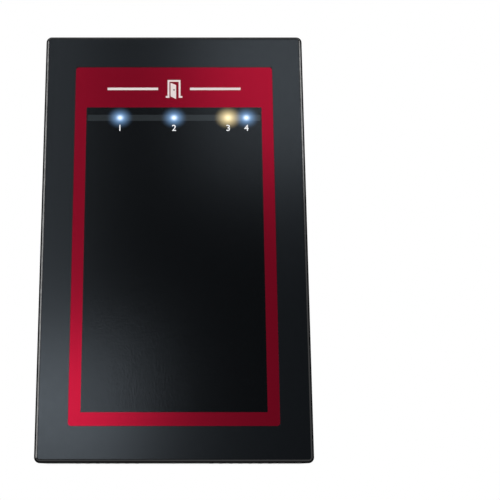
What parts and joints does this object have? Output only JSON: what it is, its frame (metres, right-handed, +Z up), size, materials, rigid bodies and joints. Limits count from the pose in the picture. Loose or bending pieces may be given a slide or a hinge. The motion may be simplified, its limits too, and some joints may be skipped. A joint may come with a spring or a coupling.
{
  "type": "door controller",
  "caption": "Wall-mounted door controller: shallow black box with a red-bordered front, a light strip, and a swing-up cover over a terminal board.",
  "frame": {"origin": "centre of the box on the wall plane, at the back of the base tray", "axes": "+Z up, +X to the right as seen from the room, +Y into the wall; the front faces -Y"},
  "size_m": [0.14, 0.044, 0.2284],
  "materials": {
    "cover_plastic": "satin moulded",
    "tray_plastic": "matt moulded",
    "border_red": "satin printed film",
    "centre_black": "fine textured film",
    "light_smoke": "smoky clear moulding",
    "screw_steel": "zinc plated",
    "clamp_steel": "zinc plated",
    "grommet_rubber": "matt",
    "board_green": "solder mask",
    "terminal_green": "moulded",
    "jack_metal": "tinned shell",
    "relay_blue": "moulded",
    "switch_black": "moulded",
    "slider_white": "moulded",
    "button_red": "moulded",
    "plunger_white": "moulded",
    "ferrite": "sintered",
    "winding_tape": "tape",
    "capacitor_sleeve": "shrink sleeve",
    "varistor_blue": "dipped",
    "fuse_yellow": "dipped",
    "sink_aluminium": "black anodised",
    "pad_grey": "silicone",
    "chip_black": "moulded",
    "module_board": "solder mask",
    "shield_tin": "tinned",
    "contact_tin": "tin plated",
    "cell_steel": "nickel plated",
    "lamp_white": "moulded"
  },
  "bodies": {
    "base": {"base_tray": "tray_plastic", "battery_clip": "contact_tin", "battery_holder": "switch_black", "board_screws": "screw_steel", "cable_grommet": "grommet_rubber", "coin_cell": "cell_steel", "heat_sink": "sink_aluminium", "hinge_pins": "screw_steel", "indicator_lights": "lamp_white", "lock_1_header": "terminal_green", "lock_2_header": "terminal_green", "lock_relays": "relay_blue", "logic_chips": "chip_black", "main_board": "board_green", "network_jack": "jack_metal", "power_header": "terminal_green", "power_regulator": "chip_black", "processor_module": "module_board", "processor_shield": "shield_tin", "reader_1_header": "terminal_green", "reader_2_header": "terminal_green", "reset_switch": "switch_black", "resettable_fuses": "fuse_yellow", "selector_bodies": "switch_black", "supply_capacitors": "capacitor_sleeve", "supply_inductors": "ferrite", "surge_varistors": "varistor_blue", "tamper_switch": "switch_black", "terminal_contacts": "contact_tin", "thermal_pad": "pad_grey", "transformer_core": "ferrite", "transformer_winding": "winding_tape", "wireless_module": "module_board", "wireless_shield": "shield_tin"},
    "cover": {"front_cover": "cover_plastic", "border_film": "border_red", "centre_film": "centre_black", "light_guide": "light_smoke", "clamp_nut": "screw_steel"},
    "screw": {"cover_screw": "screw_steel"},
    "tamper": {"tamper_plunger": "plunger_white"},
    "button": {"reset_button": "button_red"},
    "slider_1": {"selector_1_slider": "slider_white"},
    "slider_2": {"selector_2_slider": "slider_white"},
    "reader_1_terminal": {"reader_1_plug": "terminal_green", "reader_1_clamp_screws": "clamp_steel"},
    "reader_2_terminal": {"reader_2_plug": "terminal_green", "reader_2_clamp_screws": "clamp_steel"},
    "lock_1_terminal": {"lock_1_plug": "terminal_green", "lock_1_clamp_screws": "clamp_steel"},
    "lock_2_terminal": {"lock_2_plug": "terminal_green", "lock_2_clamp_screws": "clamp_steel"},
    "power_terminal": {"power_plug": "terminal_green", "power_clamp_screws": "clamp_steel"}
  },
  "joints": [
    {"name": "cover_hinge", "type": "hinge", "parent": "base", "child": "cover", "pos_m": [0, -0.008, 0.1085], "axis": [-1, 0, 0], "range_deg": [0, 90]},
    {"name": "cover_screw_turn", "type": "hinge", "parent": "cover", "child": "screw", "pos_m": [0, -0.014, -0.11], "axis": [0, 0, 1], "continuous": true},
    {"name": "tamper_release", "type": "slide", "parent": "base", "child": "tamper", "axis": [0, -1, 0], "range_m": [0, 0.0012]},
    {"name": "reset_press", "type": "slide", "parent": "base", "child": "button", "axis": [0, 1, 0], "range_m": [0, 0.0005], "stiffness_N_per_m": 300, "springref_m": -0.001},
    {"name": "selector_1_slide", "type": "slide", "parent": "base", "child": "slider_1", "axis": [0, 0, 1], "range_m": [0, 0.0022]},
    {"name": "selector_2_slide", "type": "slide", "parent": "base", "child": "slider_2", "axis": [0, 0, 1], "range_m": [0, 0.0022]},
    {"name": "reader_1_pull", "type": "slide", "parent": "base", "child": "reader_1_terminal", "axis": [0, -1, 0], "range_m": [0, 0.009]},
    {"name": "reader_2_pull", "type": "slide", "parent": "base", "child": "reader_2_terminal", "axis": [0, -1, 0], "range_m": [0, 0.009]},
    {"name": "lock_1_pull", "type": "slide", "parent": "base", "child": "lock_1_terminal", "axis": [0, -1, 0], "range_m": [0, 0.009]},
    {"name": "lock_2_pull", "type": "slide", "parent": "base", "child": "lock_2_terminal", "axis": [0, -1, 0], "range_m": [0, 0.009]},
    {"name": "power_pull", "type": "slide", "parent": "base", "child": "power_terminal", "axis": [0, -1, 0], "range_m": [0, 0.009]}
  ],
  "couplings": [
    {"joint": "tamper_release", "follows": "cover_hinge", "m_per_rad": 0.00076}
  ]
}
